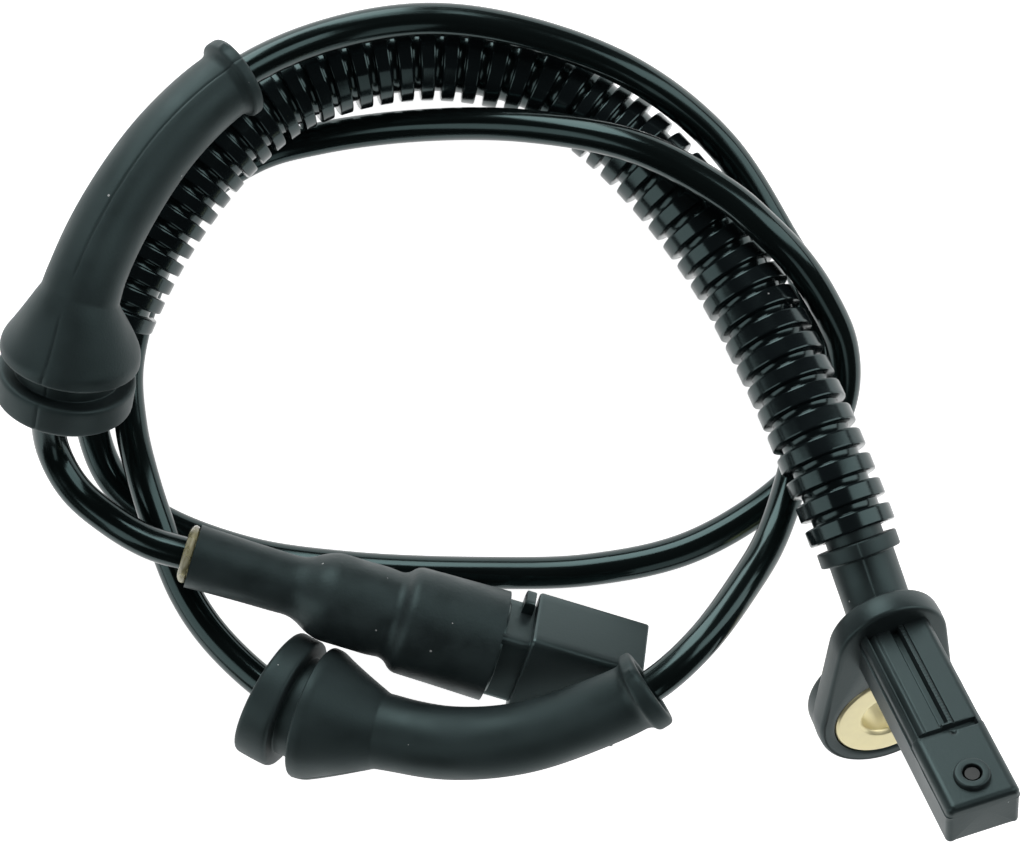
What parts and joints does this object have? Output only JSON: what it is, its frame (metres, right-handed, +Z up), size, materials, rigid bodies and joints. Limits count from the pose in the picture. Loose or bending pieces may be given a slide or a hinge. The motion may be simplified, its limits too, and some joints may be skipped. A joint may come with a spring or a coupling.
{
  "type": "wheel speed sensor with cable",
  "caption": "Wheel speed sensor head with a mounting ear, its cable looped flat in corrugated conduit with rubber grommets, ending in a sleeved connector.",
  "frame": {"origin": "on the surface the coil lies on, below the middle of the box around the rigid pieces", "axes": "+Z up from the surface; +X across the coil, from the upper grommet's side to the sensor's side; +Y from the connector's side to the far side of the coil"},
  "size_m": [0.1464, 0.1208, 0.0495],
  "materials": {
    "housing_plastic": "satin, fine moulding grain",
    "zinc_bush": "pale yellow zinc plating, satin",
    "carrier_plastic": "matte",
    "chip_epoxy": "matte",
    "ferrite": "dull grey",
    "tinned_copper": "tin plated, satin",
    "core_dark": "satin",
    "core_light": "satin",
    "cable_jacket": "gloss",
    "conduit_plastic": "gloss",
    "grommet_rubber": "matte, dusty",
    "sleeve_film": "matte, slightly wrinkled",
    "melt_adhesive": "cloudy yellow, glossy",
    "plug_plastic": "satin",
    "seal_silicone": "matte"
  },
  "bodies": {
    "root": {"sensor_housing": "housing_plastic", "mounting_bush": "zinc_bush", "chip_carrier": "carrier_plastic", "sensing_chip": "chip_epoxy", "bias_magnet": "ferrite", "signal_lead": "tinned_copper", "supply_lead": "tinned_copper", "head_crimp_1": "tinned_copper", "head_crimp_2": "tinned_copper", "head_core_wire_1": "core_dark", "head_core_wire_2": "core_light", "cable": "cable_jacket", "conduit": "conduit_plastic", "grommet_lower": "grommet_rubber", "grommet_upper": "grommet_rubber", "shrink_sleeve": "sleeve_film", "adhesive_bead": "melt_adhesive", "connector_housing": "plug_plastic", "wire_seal": "seal_silicone", "terminal_1": "tinned_copper", "terminal_2": "tinned_copper", "plug_core_wire_1": "core_dark", "plug_core_wire_2": "core_light", "terminal_lock": "seal_silicone"}
  },
  "joints": []
}
